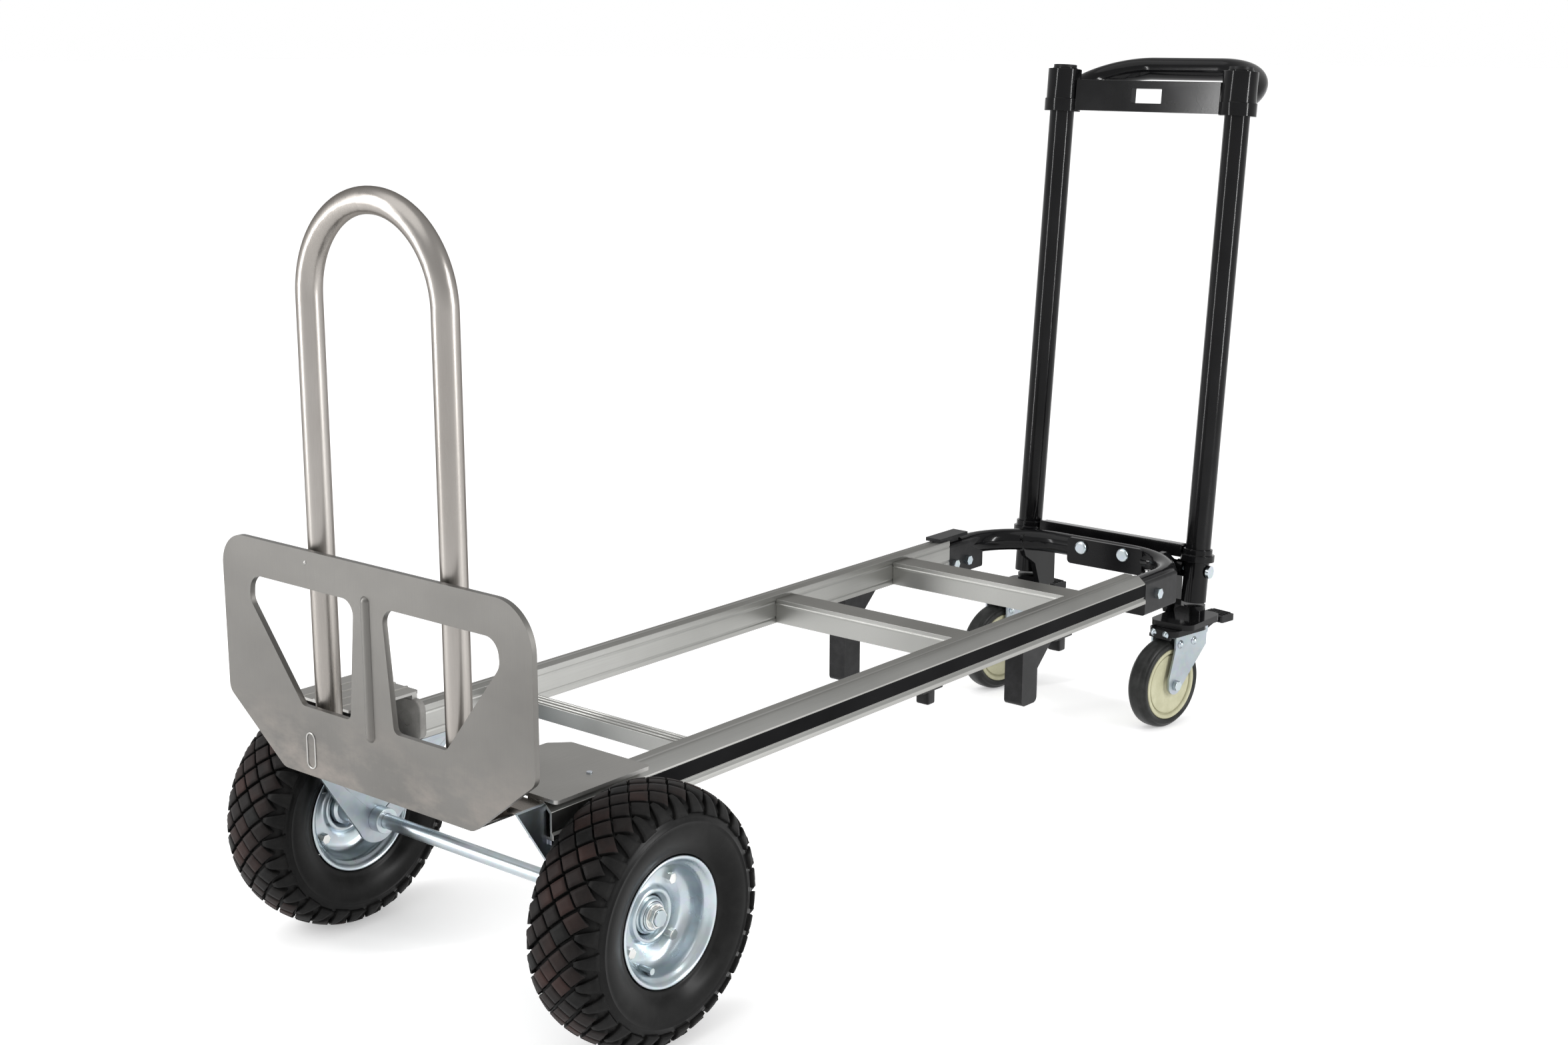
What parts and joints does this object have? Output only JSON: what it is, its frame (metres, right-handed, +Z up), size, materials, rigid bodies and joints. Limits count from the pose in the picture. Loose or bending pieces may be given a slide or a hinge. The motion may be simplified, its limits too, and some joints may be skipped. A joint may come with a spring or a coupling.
{
  "type": "convertible hand truck",
  "caption": "Convertible hand truck as a four-wheel platform: aluminium rails, toe plate with fold-down nose loop, pneumatic main wheels, swivel casters and a folding black handle.",
  "frame": {"origin": "middle of the footprint, on the floor", "axes": "+X from the toe plate towards the handle, +Y towards the left rail, +Z up"},
  "size_m": [1.5538, 0.5414, 0.9166],
  "materials": {
    "brushed_aluminium": "brushed, warm grey",
    "extruded_aluminium": "satin extrusion",
    "satin_aluminium": "satin tube",
    "zinc_steel": "bright zinc plate",
    "zinc_sheet": "galvanised sheet",
    "black_powder_coat": "gloss black",
    "black_plastic": "moulded",
    "trim_band": "plain dark band",
    "tyre_rubber": "matt rubber",
    "caster_rubber": "satin rubber",
    "wheel_plastic": "pale olive moulding"
  },
  "bodies": {
    "frame": {"axle": "zinc_steel", "axle_bracket_left": "zinc_sheet", "axle_bracket_right": "zinc_sheet", "axle_collars": "zinc_steel", "axle_nuts": "zinc_steel", "base_channel": "satin_aluminium", "caster_plate_left": "black_powder_coat", "caster_plate_right": "black_powder_coat", "corner_plate": "brushed_aluminium", "cross_member_front": "extruded_aluminium", "cross_member_rear": "extruded_aluminium", "frame_bolts": "zinc_steel", "front_bar": "extruded_aluminium", "handle_mount_left": "black_powder_coat", "handle_mount_right": "black_powder_coat", "latch_bolts": "zinc_steel", "latch_bracket": "black_powder_coat", "nose_hinge_brackets": "satin_aluminium", "nose_hinge_pins": "zinc_steel", "pivot_bolts": "zinc_steel", "rail_end_block_left": "black_plastic", "rail_end_block_right": "black_plastic", "rail_end_cap": "satin_aluminium", "rail_left": "extruded_aluminium", "rail_right": "extruded_aluminium", "rail_trim_strips": "trim_band", "rear_loop": "black_powder_coat", "support_legs": "black_plastic", "toe_plate": "brushed_aluminium", "wheel_guard": "extruded_aluminium"},
    "wheel_left": {"rim_bolts_left": "zinc_steel", "rim_halves_left": "zinc_steel", "tyre_left": "tyre_rubber", "tyre_valve_left": "black_plastic", "wheel_hub_left": "zinc_steel"},
    "wheel_right": {"rim_bolts_right": "zinc_steel", "rim_halves_right": "zinc_steel", "tyre_right": "tyre_rubber", "tyre_valve_right": "black_plastic", "wheel_hub_right": "zinc_steel"},
    "handle": {"handle_collars": "black_powder_coat", "handle_grip": "black_powder_coat", "handle_lower_bar": "black_powder_coat", "handle_post_caps": "black_plastic", "handle_post_left": "black_powder_coat", "handle_post_right": "black_powder_coat", "handle_top_bar": "black_powder_coat"},
    "nose_extension": {"nose_extension": "satin_aluminium"},
    "caster_left": {"caster_axle_left": "zinc_steel", "caster_fork_left": "zinc_sheet", "caster_housing_left": "black_powder_coat"},
    "caster_right": {"caster_axle_right": "zinc_steel", "caster_fork_right": "zinc_sheet", "caster_housing_right": "black_powder_coat"},
    "caster_wheel_left": {"caster_core_left": "wheel_plastic", "caster_tread_left": "caster_rubber"},
    "caster_wheel_right": {"caster_core_right": "wheel_plastic", "caster_tread_right": "caster_rubber"},
    "brake_left": {"brake_pedal_left": "black_plastic"},
    "brake_right": {"brake_pedal_right": "black_plastic"}
  },
  "joints": [
    {"name": "wheel_left_spin", "type": "hinge", "parent": "frame", "child": "wheel_left", "pos_m": [-0.63788, 0.2267, 0.13], "axis": [0, 1, 0], "continuous": true},
    {"name": "wheel_right_spin", "type": "hinge", "parent": "frame", "child": "wheel_right", "pos_m": [-0.63788, -0.2267, 0.13], "axis": [0, 1, 0], "continuous": true},
    {"name": "caster_left_swivel", "type": "hinge", "parent": "frame", "child": "caster_left", "pos_m": [0.55212, 0.14, 0.142], "axis": [0, 0, 1], "continuous": true},
    {"name": "caster_left_spin", "type": "hinge", "parent": "caster_left", "child": "caster_wheel_left", "pos_m": [0.52051, 0.14501, 0.0635], "axis": [0.1564, 0.9877, 0], "continuous": true},
    {"name": "brake_left_press", "type": "hinge", "parent": "caster_left", "child": "brake_left", "pos_m": [0.59755, 0.1328, 0.13], "axis": [0.1564, 0.9877, 0], "range_deg": [0, 10]},
    {"name": "caster_right_swivel", "type": "hinge", "parent": "frame", "child": "caster_right", "pos_m": [0.55212, -0.14, 0.142], "axis": [0, 0, 1], "continuous": true},
    {"name": "caster_right_spin", "type": "hinge", "parent": "caster_right", "child": "caster_wheel_right", "pos_m": [0.52051, -0.13499, 0.0635], "axis": [0.1564, 0.9877, 0], "continuous": true},
    {"name": "brake_right_press", "type": "hinge", "parent": "caster_right", "child": "brake_right", "pos_m": [0.59755, -0.1472, 0.13], "axis": [0.1564, 0.9877, 0], "range_deg": [0, 10]},
    {"name": "handle_fold", "type": "hinge", "parent": "frame", "child": "handle", "pos_m": [0.59362, 0, 0.212], "axis": [0, 1, 0], "range_deg": [0, 85]},
    {"name": "nose_fold", "type": "hinge", "parent": "frame", "child": "nose_extension", "pos_m": [-0.74788, 0, 0.269], "axis": [0, 1, 0], "range_deg": [0, 90]}
  ]
}
